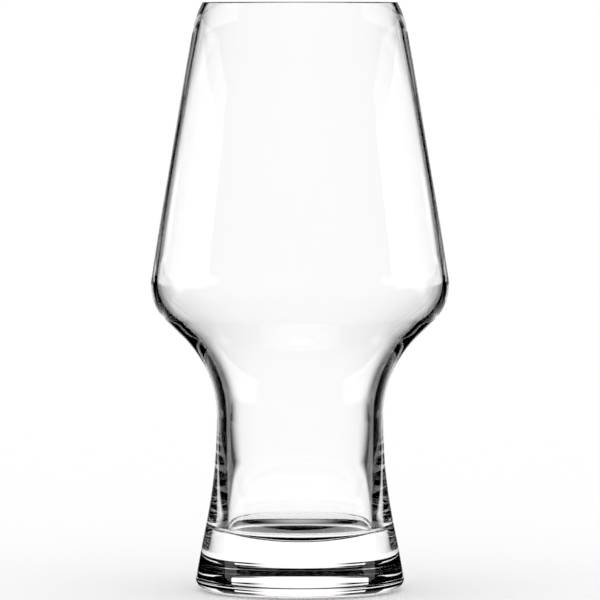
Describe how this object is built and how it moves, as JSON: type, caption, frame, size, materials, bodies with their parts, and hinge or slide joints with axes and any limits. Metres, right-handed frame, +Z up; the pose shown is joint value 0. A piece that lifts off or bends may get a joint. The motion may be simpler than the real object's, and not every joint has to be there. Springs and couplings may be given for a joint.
{
  "type": "beer tumbler",
  "caption": "Tall clear beer glass: a tapered bowl on a sloping shoulder, a narrow waist to hold it by and a heavy flared foot.",
  "frame": {"origin": "centre of the ring that the glass stands on, at the level of the table", "axes": "+Z up along the axis of the glass, from the foot to the rim"},
  "size_m": [0.0914, 0.0914, 0.18],
  "materials": {
    "clear_glass": "clear colourless glass, fire-polished"
  },
  "bodies": {
    "root": {"tumbler": "clear_glass"}
  },
  "joints": []
}
